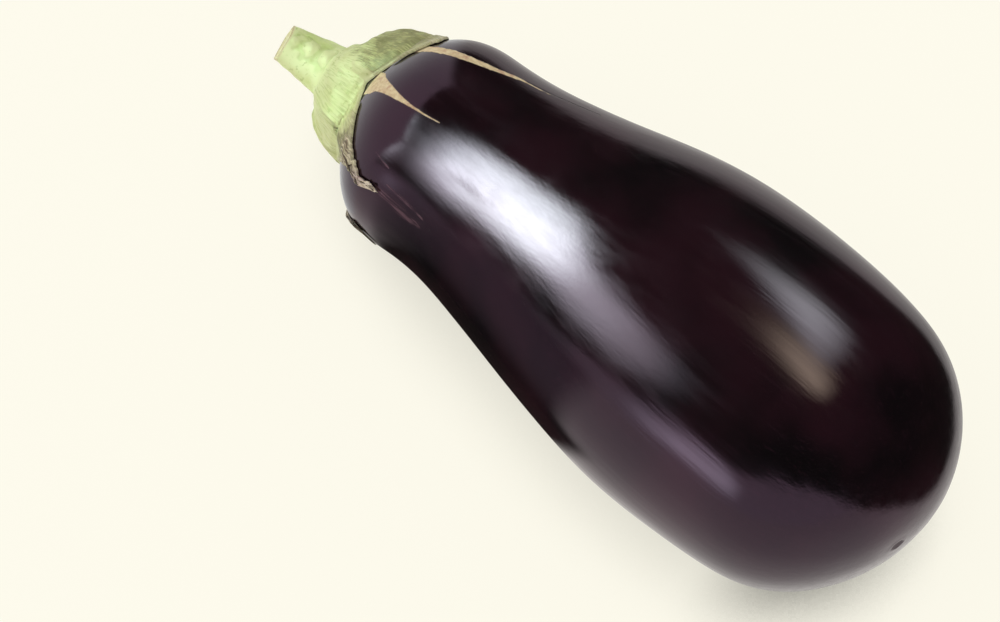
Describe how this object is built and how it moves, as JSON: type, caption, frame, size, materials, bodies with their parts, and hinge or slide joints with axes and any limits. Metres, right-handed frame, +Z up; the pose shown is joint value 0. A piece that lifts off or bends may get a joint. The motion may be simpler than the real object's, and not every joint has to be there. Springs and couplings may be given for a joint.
{
  "type": "eggplant",
  "caption": "Whole glossy dark purple eggplant as picked, with its lobed green calyx and short cut stem, lying on its side on a small flat spot.",
  "frame": {"origin": "bottom centre of the whole object's box, on the surface that it lies on", "axes": "+X from the stem to the blossom end, +Z up"},
  "size_m": [0.2272, 0.0906, 0.0918],
  "materials": {
    "fruit_skin": "waxy dark aubergine skin with a high gloss",
    "calyx": "dull fibrous green, brown and dry at the edges"
  },
  "bodies": {
    "root": {"fruit": "fruit_skin", "calyx_and_stem": "calyx"}
  },
  "joints": []
}
